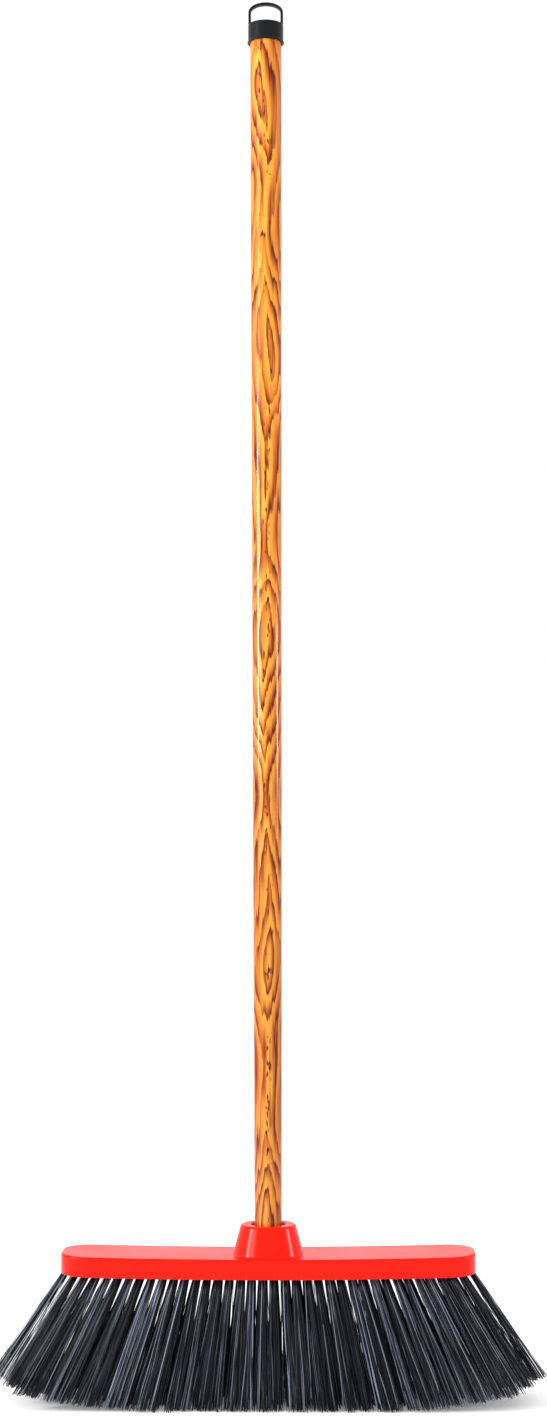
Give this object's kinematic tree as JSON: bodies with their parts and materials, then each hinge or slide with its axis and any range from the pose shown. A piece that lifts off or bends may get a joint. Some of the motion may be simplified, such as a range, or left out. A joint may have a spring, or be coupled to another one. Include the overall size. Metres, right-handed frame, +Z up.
{
  "type": "push broom",
  "caption": "Upright push broom: a wide arched block with outward-fanning bristle tufts, a conical screw socket, and a long round film-covered handle topped by a cap with a hanging loop.",
  "frame": {"origin": "on the floor under the handle's axis, at the middle of the bristle tips", "axes": "+X along the block, -Y the front, +Z up along the handle"},
  "size_m": [0.531, 0.104, 1.361],
  "materials": {
    "block_plastic": "gloss",
    "core_wood": "matte",
    "wood_print_film": "gloss",
    "ferrule_plastic": "satin",
    "nail_steel": "satin",
    "cap_plastic": "satin",
    "bristle_fibre": "satin",
    "anchor_wire": "satin"
  },
  "bodies": {
    "head": {"broom_block": "block_plastic", "bristles_row_1_front": "bristle_fibre", "bristles_row_2": "bristle_fibre", "bristles_row_3_middle": "bristle_fibre", "bristles_row_4": "bristle_fibre", "bristles_row_5_rear": "bristle_fibre", "anchors_row_1_front": "anchor_wire", "anchors_row_2": "anchor_wire", "anchors_row_3_middle": "anchor_wire", "anchors_row_4": "anchor_wire", "anchors_row_5_rear": "anchor_wire"},
    "core": {"handle_core": "core_wood"},
    "handle": {"handle_film": "wood_print_film", "threaded_ferrule": "ferrule_plastic", "ferrule_nail": "nail_steel", "hanger_cap": "cap_plastic"}
  },
  "joints": [
    {"name": "handle_rise", "type": "slide", "parent": "head", "child": "core", "axis": [0, 0, 1], "range_m": [0, 0.025]},
    {"name": "handle_turn", "type": "hinge", "parent": "core", "child": "handle", "pos_m": [0, 0, 0.159], "axis": [0, 0, 1], "range_deg": [0, 1805]}
  ],
  "couplings": [
    {"joint": "handle_turn", "follows": "handle_rise", "rad_per_m": 1256.6}
  ]
}
